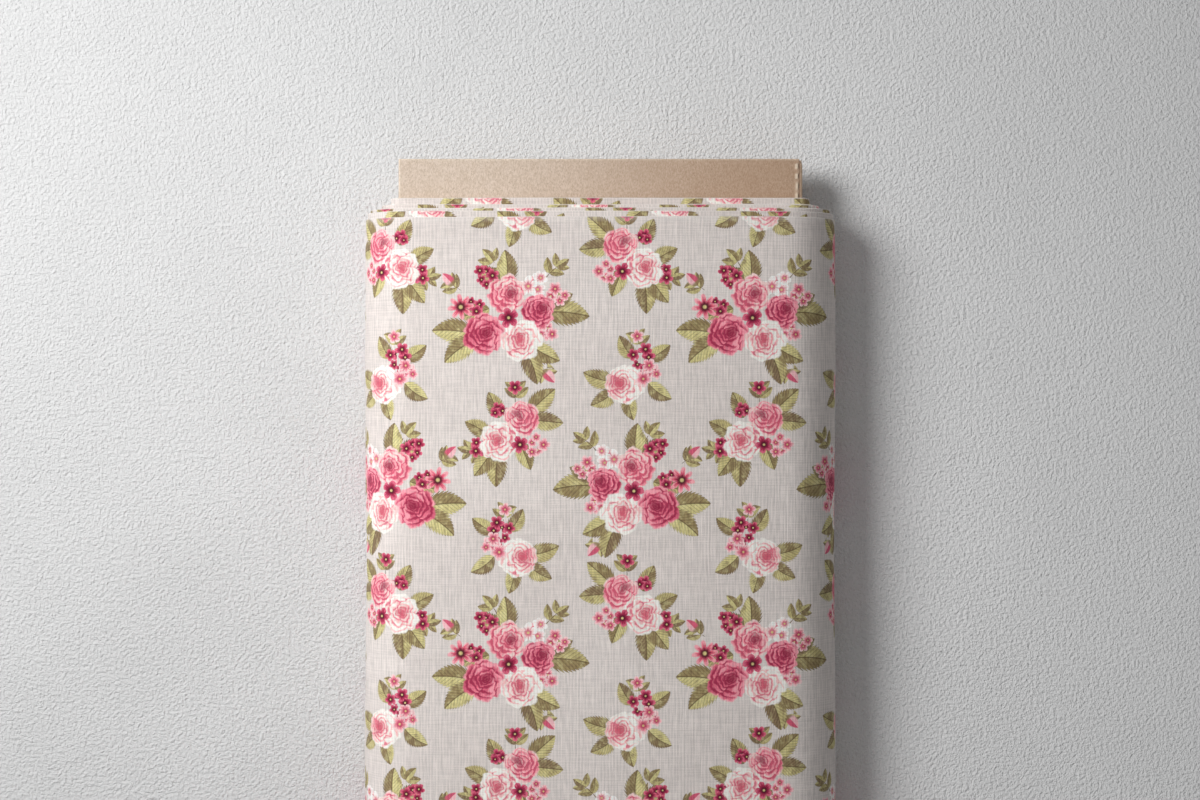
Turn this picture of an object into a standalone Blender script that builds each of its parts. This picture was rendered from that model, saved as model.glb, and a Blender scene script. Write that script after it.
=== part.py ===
"""Fabric bolt: printed cotton wound flat on a folded cardboard board, lying on its back.

Metres, +Z up. X runs across the bolt and Y along the board, with its top end at +Y.
The origin is the centre of the face the bolt lies on. The front is +Z, the left is -X.
The wound cloth is one web: it is split into the groups of turns that slip on each
other lengthwise.
"""

import math

import bmesh
import bpy
from mathutils import Matrix, Vector

# --- driving dimensions (metres) -------------------------------------------
GAP = 0.0003                 # between pieces that touch

BOARD_WIDTH = 0.197          # across the bolt
BOARD_DEPTH = 0.016          # thickness of the folded board
BOARD_LENGTH = 0.600
CARD_WALL = 0.003            # corrugated sheet
CARD_FOLD_RADIUS = 0.0012    # outside of a folded corner
CARD_FOLD_STEPS = 4
CARD_INNER_RADIUS = 0.0006   # inside of a folded corner
CARD_INNER_STEPS = 2

CHANNEL_CARD = 0.0018
CHANNEL_WIDTH = 0.060
CHANNEL_OFFSET = 0.046       # centre line of each spacer channel from the middle
CHANNEL_SETBACK = 0.012      # how far it stops short of the sleeve's mouth

FLAP_CARD = 0.0018
FLAP_AXIS_RISE = 0.0002      # crease line above the sleeve's inner face
FLAP_CREASE_GAP = 0.0001     # panel's lower edge above the crease line
FLAP_TOP_GAP = 0.0004        # panel's upper edge below the sleeve's inner face
FLAP_SIDE_GAP = 0.0006
FLAP_CHAMFER = 0.0012        # on the two upper corners
FLAP_NOTCH_RADIUS = 0.0045
FLAP_NOTCH_STEPS = 10

CLOTH_PLY_PAIR = 0.0005      # cloth folded double
CLOTH_LENGTH = 0.560         # folded width of the cloth, lengthwise on the bolt

# each group of turns, from and to this distance outside the board
CORE_DEPTH = (GAP, 0.0036)
INNER_DEPTH = (CORE_DEPTH[1] + GAP, 0.0080)
MIDDLE_DEPTH = (INNER_DEPTH[1] + GAP, 0.0136)
OUTER_DEPTH = (MIDDLE_DEPTH[1] + GAP, 0.0149)
LOOSE_DEPTH = (OUTER_DEPTH[1] + GAP, OUTER_DEPTH[1] + GAP + CLOTH_PLY_PAIR)

# upper edge of each group of turns, down from the board's top end
CORE_EDGE = 0.0194
INNER_EDGE = 0.0229
MIDDLE_EDGE = 0.0250
OUTER_EDGE = 0.0267
LOOSE_EDGE = 0.0295

LOOSE_END_HEIGHT = 0.0220    # the free edge of the cloth, above the rest plane
CLOTH_CORNER_STEPS = 14
CLOTH_SIDE_STEPS = 3         # on the part corner that runs down to the free edge

# --- derived places ---------------------------------------------------------
BACK_DEPTH = LOOSE_DEPTH[1]  # the outermost turn on the back and the right side
HALF_WIDTH = BOARD_WIDTH / 2
HALF_DEPTH = BOARD_DEPTH / 2
BOARD_END = BOARD_LENGTH / 2
BOARD_MID_Z = BACK_DEPTH + HALF_DEPTH
BOARD_FRONT_Z = BOARD_MID_Z + HALF_DEPTH
FLAP_AXIS_Z = BOARD_MID_Z - HALF_DEPTH + CARD_WALL + FLAP_AXIS_RISE
# The cloth bulges round the board's edges: its corners grow until the outermost
# turn is a half round.
CORNER_GROWTH = (HALF_DEPTH + BACK_DEPTH) / BACK_DEPTH
# line on which the loose end turns back: where the front stops being flat
TURN_AXIS_X = HALF_WIDTH - HALF_DEPTH

# --- mesh building limits ---------------------------------------------------
REPEAT_DISTANCE = 0.00002    # outline points closer than this count as one
WELD_DISTANCE = 0.000002
SHARP_ANGLE = math.radians(30)


# --- scene ------------------------------------------------------------------
for existing in list(bpy.data.objects):
    bpy.data.objects.remove(existing, do_unlink=True)

bolt = bpy.data.collections.new("fabric_bolt")
bpy.context.scene.collection.children.link(bolt)


# --- materials --------------------------------------------------------------
def material(name, colour, roughness, sheen):
    made = bpy.data.materials.new(name)
    made.use_nodes = True
    surface = made.node_tree.nodes["Principled BSDF"]
    surface.inputs["Base Color"].default_value = (*colour, 1.0)
    surface.inputs["Roughness"].default_value = roughness
    surface.inputs["Metallic"].default_value = 0.0
    surface.inputs["Sheen Weight"].default_value = sheen
    made.diffuse_color = (*colour, 1.0)
    return made


def kraft(name, colour, roughness=0.88):
    return material(name, colour, roughness=roughness, sheen=0.0)


def cotton(name, colour):
    return material(name, colour, roughness=0.93, sheen=0.3)


KRAFT_BOARD = kraft("kraft_board", colour=(0.58, 0.43, 0.30))
KRAFT_CHANNEL = kraft("kraft_channel", colour=(0.42, 0.30, 0.20), roughness=0.90)
KRAFT_FLAP = kraft("kraft_flap", colour=(0.54, 0.40, 0.28))
CLOTH_CORE = cotton("cloth_core", colour=(0.68, 0.62, 0.59))
CLOTH_INNER = cotton("cloth_inner", colour=(0.72, 0.66, 0.63))
CLOTH_MIDDLE = cotton("cloth_middle", colour=(0.76, 0.66, 0.64))
CLOTH_OUTER = cotton("cloth_outer", colour=(0.80, 0.64, 0.63))
CLOTH_LOOSE = cotton("cloth_loose", colour=(0.84, 0.72, 0.70))


# --- outlines in the XZ plane -----------------------------------------------
def arc(centre_x, centre_z, radius, start, stop, steps):
    """Points round an arc, from start to stop in degrees."""
    points = []
    for i in range(steps + 1):
        angle = math.radians(start + (stop - start) * i / steps)
        points.append((centre_x + radius * math.cos(angle), centre_z + radius * math.sin(angle)))
    return points


def rounded_rect(half_width, half_depth, radius, steps):
    """Closed outline centred on the board."""
    points = []
    for corner, (side_x, side_z) in enumerate(((1, 1), (-1, 1), (-1, -1), (1, -1))):
        points += arc(
            side_x * (half_width - radius),
            BOARD_MID_Z + side_z * (half_depth - radius),
            radius,
            90 * corner,
            90 * corner + 90,
            steps,
        )
    return points


def without_repeats(points):
    kept = []
    for point in points:
        if not kept or math.dist(point, kept[-1]) > REPEAT_DISTANCE:
            kept.append(point)
    while math.dist(kept[0], kept[-1]) < REPEAT_DISTANCE:
        kept.pop()
    return kept


# --- solids -----------------------------------------------------------------
def outline_curve(name, outlines, y_from, y_to, look):
    """A curve object: a flat outline in XZ, with its holes, given length along Y."""
    curve = bpy.data.curves.new(name, "CURVE")
    curve.dimensions = "2D"
    curve.fill_mode = "BOTH"
    curve.resolution_u = 1
    curve.extrude = (y_to - y_from) / 2
    for outline in map(without_repeats, outlines):
        spline = curve.splines.new("POLY")
        spline.points.add(len(outline) - 1)
        for point, (x, z) in zip(spline.points, outline):
            point.co = (x, z, 0.0, 1.0)
        spline.use_cyclic_u = True
    curve.materials.append(look)
    # The outline's plane is turned upright, so that the curve's own depth runs along Y.
    obj = bpy.data.objects.new(name, curve)
    obj.location = (0.0, (y_from + y_to) / 2, 0.0)
    obj.rotation_euler = (math.pi / 2, 0.0, 0.0)
    bolt.objects.link(obj)
    return obj


def extruded(name, outlines, y_from, y_to, look, origin=(0.0, 0.0, 0.0), smooth=False):
    """A welded mesh object: an outline and its holes, given length along Y."""
    source = outline_curve(name, outlines, y_from, y_to, look)
    bpy.context.view_layer.update()
    graph = bpy.context.evaluated_depsgraph_get()
    mesh = bpy.data.meshes.new_from_object(source.evaluated_get(graph))
    mesh.transform(source.matrix_world)
    # The curve goes first, so that its name is free for the mesh object.
    bpy.data.objects.remove(source, do_unlink=True)

    work = bmesh.new()
    work.from_mesh(mesh)
    bmesh.ops.remove_doubles(work, verts=work.verts, dist=WELD_DISTANCE)
    bmesh.ops.recalc_face_normals(work, faces=work.faces)
    work.to_mesh(mesh)
    work.free()

    mesh.transform(Matrix.Translation(-Vector(origin)))
    if smooth:
        mesh.shade_smooth()
        mesh.set_sharp_from_angle(angle=SHARP_ANGLE)
    made = bpy.data.objects.new(name, mesh)
    made.location = origin
    bolt.objects.link(made)


# --- board ------------------------------------------------------------------
def board_sleeve():
    """The card folded into a flat tube, open at both ends."""
    outside = rounded_rect(HALF_WIDTH, HALF_DEPTH, CARD_FOLD_RADIUS, CARD_FOLD_STEPS)
    inside = rounded_rect(
        HALF_WIDTH - CARD_WALL, HALF_DEPTH - CARD_WALL, CARD_INNER_RADIUS, CARD_INNER_STEPS
    )
    extruded(
        "board_sleeve", [outside, inside], -BOARD_END, BOARD_END, KRAFT_BOARD, smooth=True
    )


def spacer_channel(name, side):
    """A card strip folded into a channel between the sleeve's faces.

    It stands on the side -1 (left) or 1 (right) and opens away from the middle.
    """
    half_height = HALF_DEPTH - CARD_WALL - GAP
    half_width = CHANNEL_WIDTH / 2
    shape = [
        (-half_width, -half_height),
        (half_width, -half_height),
        (half_width, -half_height + CHANNEL_CARD),
        (-half_width + CHANNEL_CARD, -half_height + CHANNEL_CARD),
        (-half_width + CHANNEL_CARD, half_height - CHANNEL_CARD),
        (half_width, half_height - CHANNEL_CARD),
        (half_width, half_height),
        (-half_width, half_height),
    ]
    outline = [(side * (CHANNEL_OFFSET + x), BOARD_MID_Z + z) for x, z in shape]
    if side < 0:
        outline.reverse()    # mirroring turned it clockwise
    reach = BOARD_END - CHANNEL_SETBACK
    extruded(name, [outline], -reach, reach, KRAFT_CHANNEL)


def end_flap(name, end):
    """The panel that closes the sleeve's mouth at the end -1 or 1 along Y.

    It is creased along its lower edge and has a finger notch in its upper edge.
    """
    low = FLAP_AXIS_Z + FLAP_CREASE_GAP
    high = BOARD_FRONT_Z - CARD_WALL - FLAP_TOP_GAP
    half_width = HALF_WIDTH - CARD_WALL - FLAP_SIDE_GAP
    outline = [
        (-half_width, low),
        (half_width, low),
        (half_width, high - FLAP_CHAMFER),
        (half_width - FLAP_CHAMFER, high),
        *arc(0.0, high, FLAP_NOTCH_RADIUS, 0, -180, FLAP_NOTCH_STEPS),
        (-half_width + FLAP_CHAMFER, high),
        (-half_width, high - FLAP_CHAMFER),
    ]
    near, far = sorted((end * BOARD_END, end * (BOARD_END - FLAP_CARD)))
    extruded(name, [outline], near, far, KRAFT_FLAP, origin=(0.0, end * BOARD_END, FLAP_AXIS_Z))


board_sleeve()
spacer_channel("spacer_channel_left", -1)
spacer_channel("spacer_channel_right", 1)
end_flap("top_end_flap", 1)
end_flap("bottom_end_flap", -1)


# --- wound cloth ------------------------------------------------------------
# Every depth below is a distance outside the board.
def cloth_corner(side_x, side_z, depth, start, stop, steps=CLOTH_CORNER_STEPS):
    """Points round one corner of the wound cloth, in degrees."""
    radius = CORNER_GROWTH * depth
    centre_x = side_x * (HALF_WIDTH + depth - radius)
    centre_z = BOARD_MID_Z + side_z * (HALF_DEPTH + depth - radius)
    return arc(centre_x, centre_z, radius, start, stop, steps)


def wrap_outline(depth):
    """Closed outline round the board: flat faces and round corners."""
    return rounded_rect(
        HALF_WIDTH + depth, HALF_DEPTH + depth, CORNER_GROWTH * depth, CLOTH_CORNER_STEPS
    )


def lower_left_angle(depth, z):
    """Where the lower left corner reaches height z, in degrees."""
    radius = CORNER_GROWTH * depth
    centre_z = BOARD_MID_Z - (HALF_DEPTH + depth - radius)
    return 180 + math.degrees(math.asin((centre_z - z) / radius))


def down_left_side(depth, z):
    """The lower left corner, from its leftmost point down to height z."""
    return cloth_corner(-1, -1, depth, 180, lower_left_angle(depth, z), CLOTH_SIDE_STEPS)


def outer_outline():
    """Outside of the outer turns, recessed under the loose end on the front and left side."""
    recessed = OUTER_DEPTH[1]
    step_z = LOOSE_END_HEIGHT - GAP
    return [
        (TURN_AXIS_X, BOARD_FRONT_Z + recessed),
        *cloth_corner(-1, 1, recessed, 90, 180),
        *down_left_side(recessed, step_z),
        *cloth_corner(-1, -1, BACK_DEPTH, lower_left_angle(BACK_DEPTH, step_z), 270),
        *cloth_corner(1, -1, BACK_DEPTH, 270, 360),
        *cloth_corner(1, 1, BACK_DEPTH, 0, 90),
    ]


def loose_outline():
    """The last length of cloth: flat on the front, round the left corner, down the left side."""
    inside, outside = LOOSE_DEPTH
    right = TURN_AXIS_X - GAP
    return [
        (right, BOARD_FRONT_Z + outside),
        *cloth_corner(-1, 1, outside, 90, 180),
        *down_left_side(outside, LOOSE_END_HEIGHT),
        *reversed(down_left_side(inside, LOOSE_END_HEIGHT)),
        *cloth_corner(-1, 1, inside, 180, 90),
        (right, BOARD_FRONT_Z + inside),
    ]


def cloth(name, outlines, edge, look, origin=(0.0, 0.0, 0.0)):
    """A length of cloth whose upper edge lies this far down from the board's top end."""
    top = BOARD_END - edge
    extruded(name, outlines, top - CLOTH_LENGTH, top, look, origin=origin, smooth=True)


for ring_name, (ring_inside, ring_outside), ring_edge, ring_look in (
    ("core_turns", CORE_DEPTH, CORE_EDGE, CLOTH_CORE),
    ("inner_turns", INNER_DEPTH, INNER_EDGE, CLOTH_INNER),
    ("middle_turns", MIDDLE_DEPTH, MIDDLE_EDGE, CLOTH_MIDDLE),
):
    cloth(ring_name, [wrap_outline(ring_outside), wrap_outline(ring_inside)], ring_edge, ring_look)

cloth("outer_turns", [outer_outline(), wrap_outline(OUTER_DEPTH[0])], OUTER_EDGE, CLOTH_OUTER)
cloth(
    "loose_cloth_end",
    [loose_outline()],
    LOOSE_EDGE,
    CLOTH_LOOSE,
    origin=(TURN_AXIS_X, 0.0, BOARD_FRONT_Z + LOOSE_DEPTH[1]),
)
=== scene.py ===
"""Looks of a fabric bolt: printed cotton wound on a folded corrugated board.

The bolt lies on the floor with its length along Y, its width along X and its front face up (+Z).
The cloth's free edge runs down the left side (-X). Lengths are in metres unless a name or a
comment says millimetres.
"""

import math
from collections import namedtuple

import bpy
import numpy as np
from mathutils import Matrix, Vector


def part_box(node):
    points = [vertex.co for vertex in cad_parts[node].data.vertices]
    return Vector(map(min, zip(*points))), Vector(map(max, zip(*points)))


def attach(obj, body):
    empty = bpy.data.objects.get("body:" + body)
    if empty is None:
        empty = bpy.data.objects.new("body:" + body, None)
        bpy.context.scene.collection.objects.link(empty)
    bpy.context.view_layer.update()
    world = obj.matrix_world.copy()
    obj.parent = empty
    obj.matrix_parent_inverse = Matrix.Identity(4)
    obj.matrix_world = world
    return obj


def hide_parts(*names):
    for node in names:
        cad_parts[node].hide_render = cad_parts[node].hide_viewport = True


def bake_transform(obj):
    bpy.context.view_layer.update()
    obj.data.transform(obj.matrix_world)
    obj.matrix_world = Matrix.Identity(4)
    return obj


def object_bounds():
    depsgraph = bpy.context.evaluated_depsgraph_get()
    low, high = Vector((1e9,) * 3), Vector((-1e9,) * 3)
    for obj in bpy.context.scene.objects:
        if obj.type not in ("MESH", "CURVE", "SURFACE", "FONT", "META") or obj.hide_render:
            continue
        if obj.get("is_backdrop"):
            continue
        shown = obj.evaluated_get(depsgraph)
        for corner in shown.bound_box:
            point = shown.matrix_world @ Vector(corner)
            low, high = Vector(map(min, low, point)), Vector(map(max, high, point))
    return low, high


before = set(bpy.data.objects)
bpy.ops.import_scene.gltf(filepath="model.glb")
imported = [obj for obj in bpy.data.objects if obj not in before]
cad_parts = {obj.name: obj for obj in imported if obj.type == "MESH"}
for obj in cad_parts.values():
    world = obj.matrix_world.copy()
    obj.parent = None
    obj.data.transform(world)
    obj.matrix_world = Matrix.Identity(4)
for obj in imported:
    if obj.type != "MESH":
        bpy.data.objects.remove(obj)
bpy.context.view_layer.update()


# =============================================================================
# sizes, read from the frame
# =============================================================================
def box(node):
    low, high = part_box(node)
    return np.array(low), np.array(high)


sleeve_low, sleeve_high = box("board_sleeve")
outer_low, outer_high = box("outer_turns")
loose_low, loose_high = box("loose_cloth_end")

HALF_W = (sleeve_high[0] - sleeve_low[0]) / 2
HALF_D = (sleeve_high[2] - sleeve_low[2]) / 2
MID_Z = (sleeve_high[2] + sleeve_low[2]) / 2
BOARD_END = sleeve_high[1]
BACK = MID_Z - HALF_D - outer_low[2]             # depth of cloth outside the board
FACE_Z = MID_Z + HALF_D + BACK                   # the cloth's front face, before it crowns
GROWTH = (HALF_D + BACK) / BACK                  # corners grow to a half round
PLY = 0.0005                                     # one thickness of cloth
GAP = 0.0003                                     # space between groups of turns
LIP_Z = loose_low[2]                             # height of the free edge
TURN_X = loose_high[0] + GAP                     # where the loose end turns back

# inner and outer depth of each group outside the board, and its two ends in Y
DEPTH, TOP, BOTTOM = {}, {}, {}
previous = 0.0
for node in ("core_turns", "inner_turns", "middle_turns"):
    low, high = box(node)
    DEPTH[node] = (previous + GAP, high[0] - HALF_W)
    TOP[node], BOTTOM[node] = high[1], low[1]
    previous = DEPTH[node][1]
DEPTH["loose_cloth_end"] = (BACK - PLY, BACK)
DEPTH["outer_turns"] = (previous + GAP, BACK - PLY - GAP)
TOP["outer_turns"], BOTTOM["outer_turns"] = outer_high[1], outer_low[1]
TOP["loose_cloth_end"], BOTTOM["loose_cloth_end"] = loose_high[1], loose_low[1]

# the corrugated board
CORNER = 0.0012                                  # radius of the board's folds
FOLD_W, FOLD_D = 0.0017, 0.0007                  # the perforated fold is wider and flatter
WALL = 0.003
LINER = 0.00038
POCKET = 0.012                                   # depth of the open ends between the liners
NICK_PITCH = 0.0049                              # of the perforation
FLUTE_MM = 6.4                                   # wavelength of the middle sheet
FLUTE = FLUTE_MM / 1000


# =============================================================================
# node building
# =============================================================================
def srgb(r, g, b, gain=1.0):
    """A linear colour from 8-bit screen values."""
    out = []
    for c in (r, g, b):
        c /= 255
        c = c / 12.92 if c <= 0.04045 else ((c + 0.055) / 1.055) ** 2.4
        out.append(min(1.0, c * gain))
    return (*out, 1.0)


def ink(r, g, b):
    """A printed colour, a tenth brighter than its screen value."""
    return srgb(r, g, b, gain=1.10)


class Value:
    """A node's output with arithmetic; each operation adds a node."""

    def __init__(self, tree, socket):
        self.tree, self.socket = tree, socket

    def __add__(self, other):
        return self.tree.math("ADD", self, other)

    def __sub__(self, other):
        return self.tree.math("SUBTRACT", self, other)

    def __rsub__(self, other):
        return self.tree.math("SUBTRACT", other, self)

    def __mul__(self, other):
        return self.tree.math("MULTIPLY", self, other)

    def __truediv__(self, other):
        return self.tree.math("DIVIDE", self, other)

    def abs(self):
        return self.tree.math("ABSOLUTE", self)

    def fract(self):
        return self.tree.math("FRACT", self)

    def floor(self):
        return self.tree.math("FLOOR", self)

    def sin(self):
        return self.tree.math("SINE", self)

    def pow(self, exponent):
        return self.tree.math("POWER", self, exponent)

    def equals(self, whole):
        return self.tree.math("COMPARE", self, whole, 0.3)

    def times(self, factor, plus, clamp=False):
        return self.tree.math("MULTIPLY_ADD", self, factor, plus, clamp=clamp)

    def cover(self, sharpness):
        """Coverage from the distance inside an outline."""
        return self.tree.math("MULTIPLY", self, sharpness, clamp=True)

    def ramp(self, start, end, bottom=0.0, top=1.0):
        """A smooth step from bottom, at start, to top, at end."""
        inputs = dict(enumerate((self, start, end, bottom, top)))
        return self.tree.add("ShaderNodeMapRange", inputs, interpolation_type="SMOOTHSTEP")


class Tree:
    """A node tree that gives Values."""

    def __init__(self, tree):
        self.nodes, self.links = tree.nodes, tree.links

    def fill(self, node, inputs):
        """Links or sets a node's inputs, by index or name."""
        for key, value in inputs.items():
            if isinstance(value, Value):
                self.links.new(value.socket, node.inputs[key])
            else:
                node.inputs[key].default_value = value

    def add(self, kind, inputs, output=0, **settings):
        node = self.nodes.new(kind)
        for name, setting in settings.items():
            setattr(node, name, setting)
        self.fill(node, inputs)
        return Value(self, node.outputs[output])

    def math(self, operation, *args, clamp=False):
        inputs = dict(enumerate(args))
        return self.add("ShaderNodeMath", inputs, operation=operation, use_clamp=clamp)

    def vmath(self, operation, *args, output=0):
        inputs = dict(enumerate(args))
        return self.add("ShaderNodeVectorMath", inputs, output, operation=operation)

    def scale(self, vector, factor):
        inputs = {0: vector, "Scale": factor}
        return self.add("ShaderNodeVectorMath", inputs, operation="SCALE")

    def length(self, x, y):
        return self.vmath("LENGTH", self.join(x, y), output=1)

    def split(self, vector):
        node = self.nodes.new("ShaderNodeSeparateXYZ")
        self.fill(node, {0: vector})
        return [Value(self, node.outputs[i]) for i in range(3)]

    def join(self, x, y, z=0.0):
        return self.add("ShaderNodeCombineXYZ", {0: x, 1: y, 2: z})

    def mix(self, share, first, second, blend="MIX"):
        inputs = {0: share, 6: first, 7: second}
        return self.add("ShaderNodeMix", inputs, 2, data_type="RGBA", blend_type=blend)

    def mix_floats(self, share, first, second):
        return self.add("ShaderNodeMix", {0: share, 2: first, 3: second}, data_type="FLOAT")

    def noise(self, vector, scale=1.0, detail=2.0, rough=0.5, output="Fac"):
        inputs = {"Vector": vector, "Scale": scale, "Detail": detail, "Roughness": rough}
        return self.add("ShaderNodeTexNoise", inputs, output)

    def attribute(self, name, output="Vector"):
        return self.add("ShaderNodeAttribute", {}, output, attribute_name=name)

    def object_mm(self):
        """The place on the object, in millimetres."""
        return self.scale(self.add("ShaderNodeTexCoord", {}, "Object"), 1000.0)

    def bump(self, height, strength, distance):
        inputs = {"Height": height, "Strength": strength, "Distance": distance}
        return self.add("ShaderNodeBump", inputs)


def motif_group(name, draw):
    """A node group for one printed motif: local place in, colour and coverage out."""
    group = bpy.data.node_groups.new(name, "ShaderNodeTree")
    for label, way, kind in (
        ("Place", "INPUT", "Vector"),
        ("Colour", "OUTPUT", "Color"),
        ("Cover", "OUTPUT", "Float"),
    ):
        group.interface.new_socket(label, in_out=way, socket_type="NodeSocket" + kind)
    tree = Tree(group)
    given = group.nodes.new("NodeGroupInput")
    result = group.nodes.new("NodeGroupOutput")
    colour, cover = draw(tree, Value(tree, given.outputs[0]))
    tree.fill(result, {0: colour, 1: cover})
    return group


def principled(name):
    material = bpy.data.materials.new(name)
    material.use_nodes = True
    return material, Tree(material.node_tree), material.node_tree.nodes["Principled BSDF"]


# =============================================================================
# printed motifs, each drawn in its own local plane: x and y within -1..1
# The place's z is a code: its whole part is the motif's kind, its fraction a seed.
# =============================================================================
def read_code(tree, place, kinds):
    """x, y, the seed, and a flag for each kind after the first."""
    x, y, code = tree.split(place)
    kind = code.floor()
    return x, y, code - kind, [kind.equals(float(k)) for k in range(1, kinds)]


def by_kind(tree, flags, colours):
    """The colour of the motif's own kind."""
    colour = colours[0]
    for flag, other in zip(flags, colours[1:]):
        colour = tree.mix(flag, colour, other)
    return colour


def draw_leaf(tree, place):
    """Kind 0 is a broad leaf, 1 a narrow leaflet, 2 a pink bud, 3 a stem."""
    x, y, seed, (is_leaflet, is_bud, is_stem) = read_code(tree, place, kinds=4)
    # the midrib bows up or down by the seed
    bow = seed.times(-0.36, plus=0.18)
    bent = (x * x).times(-1.0, plus=1.0).times(bow, plus=y)
    # the outline, fuller near the stalk, with slanted teeth
    widest = is_leaflet.times(-0.08, plus=is_stem.times(-0.55, plus=0.65))
    body = (x + 1.0).pow(0.60) * (1.0 - x).pow(0.84)
    tooth = bent.abs().times(-0.9, plus=x).times(4.6, plus=seed * 3.0).fract()
    half = widest * body * tooth.times(0.24, plus=0.80)
    off = bent.abs()
    inside = half - off
    # a light and a dark half either side of the midrib, mottled
    side = bent.times(30.0, plus=0.5, clamp=True)
    moved = tree.vmath("ADD", place, tree.join(seed * 37.0, 0.0))
    mottle = tree.noise(moved, scale=2.6, detail=2.0, rough=0.6)
    seed_share = seed.ramp(start=0.15, end=0.85)
    light = tree.mix(seed_share, ink(212, 202, 140), ink(188, 174, 118))
    dark = tree.mix((seed * 7.0).fract(), ink(150, 132, 92), ink(128, 104, 84))
    colour = tree.mix(side, dark, light)
    spots = mottle.ramp(start=0.48, end=0.70, top=0.60)
    colour = tree.mix(spots, colour, ink(124, 100, 76))
    spots = mottle.ramp(start=0.52, end=0.30, top=0.55)
    colour = tree.mix(spots, colour, ink(222, 214, 160))
    # side veins: a light crest between dark lines
    vein = off.times(-1.15, plus=x).times(4.4, plus=seed).fract()
    crest = vein.ramp(start=0.15, end=0.62, top=0.20)
    crest_colour = tree.mix(side, ink(186, 172, 120), ink(230, 222, 172))
    colour = tree.mix(crest, colour, crest_colour)
    vein = (vein - 0.5).abs().ramp(start=0.34, end=0.49, top=0.46)
    colour = tree.mix(vein, colour, ink(96, 78, 56))
    midrib = off.ramp(start=0.050, end=0.008, top=0.80)
    colour = tree.mix(midrib, colour, ink(98, 78, 54))
    rim = inside.ramp(start=0.075, end=0.0, top=0.60)
    colour = tree.mix(rim, colour, ink(112, 92, 66))
    # a bud is pink, with a green foot
    pink = tree.mix(side, ink(216, 98, 124), ink(250, 196, 200))
    pink = tree.mix(vein, pink, ink(188, 58, 90))
    foot = x.ramp(start=-0.30, end=-0.70, top=0.9)
    pink = tree.mix(foot, pink, ink(140, 128, 84))
    colour = tree.mix(is_bud, colour, pink)
    colour = tree.mix(is_stem, colour, ink(118, 96, 70))
    return colour, inside.cover(24.0)


# columns: crimson, pink, white and pink, open anemone
BLOOM_LOW = (ink(118, 28, 54), ink(198, 76, 106), ink(224, 132, 146), ink(150, 34, 66))
BLOOM_MID = (ink(172, 46, 80), ink(236, 146, 160), ink(250, 220, 218), ink(224, 96, 120))
BLOOM_HIGH = (ink(222, 108, 134), ink(253, 212, 212), ink(252, 243, 240), ink(248, 172, 180))
BLOOM_CORE = (ink(84, 26, 44), ink(190, 78, 102), ink(214, 118, 134), ink(70, 40, 42))


def draw_bloom(tree, place):
    """Kinds 0 to 2 are crimson, pink, and white and pink five-petal blossoms, 3 an anemone."""
    x, y, seed, flags = read_code(tree, place, kinds=4)
    is_open = flags[2]
    radius = tree.length(x, y)
    turn = tree.math("ARCTAN2", y, x)
    # the outline: five petals, or eight on the anemone, with a rough edge
    petals = is_open.times(1.5, plus=2.5)
    lobe = turn.times(petals, plus=seed * 6.2832).sin().abs()
    moved = tree.vmath("ADD", place, tree.join(seed * 53.0, 7.0))
    rough = tree.noise(moved, scale=3.2, detail=2.0, rough=0.6)
    shape = lobe.pow(is_open.times(0.55, plus=0.55))
    base = rough.times(0.26, plus=is_open.times(-0.06, plus=0.36))
    reach = shape.times(0.46, plus=base)
    share = radius / reach
    cover = (reach - radius).cover(18.0)
    # petals are paler towards their tips, with streaks from the middle
    ray = tree.join(turn * 3.6, radius * 0.9, seed * 9.0)
    streak = tree.noise(ray, scale=2.8, detail=1.0, rough=0.5)
    uneven = streak.times(1.0, plus=x.times(-0.12, plus=-0.50))
    tone = share.ramp(start=0.12, end=0.98) + uneven
    low = by_kind(tree, flags, BLOOM_LOW)
    colour = tree.mix(tone.ramp(start=0.05, end=0.50), low, by_kind(tree, flags, BLOOM_MID))
    high = by_kind(tree, flags, BLOOM_HIGH)
    colour = tree.mix(tone.ramp(start=0.50, end=1.00), colour, high)
    between = lobe.ramp(start=0.40, end=0.05, top=0.8)
    colour = tree.mix(between, colour, low)
    ring = radius.ramp(start=0.40, end=0.18, top=0.80)
    colour = tree.mix(ring, colour, by_kind(tree, flags, BLOOM_CORE))
    heart = radius.ramp(start=0.17, end=0.07)
    return tree.mix(heart, colour, ink(220, 202, 140)), cover


# columns: deep pink, mid pink, pale
ROSE_LOW = (ink(172, 54, 84), ink(212, 92, 116), ink(226, 128, 144))
ROSE_MID = (ink(220, 104, 128), ink(242, 154, 166), ink(250, 200, 198))
ROSE_HIGH = (ink(244, 162, 174), ink(254, 214, 210), ink(252, 240, 234))
# rounds of petals from the outside in: reach, half the number of petals, dip between petals
ROSE_ROUNDS = (
    (0.97, 3.0, 0.13), (0.80, 2.5, 0.15), (0.60, 2.0, 0.18),
    (0.42, 1.5, 0.20), (0.27, 1.5, 0.22), (0.15, 1.0, 0.25),
)


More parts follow.
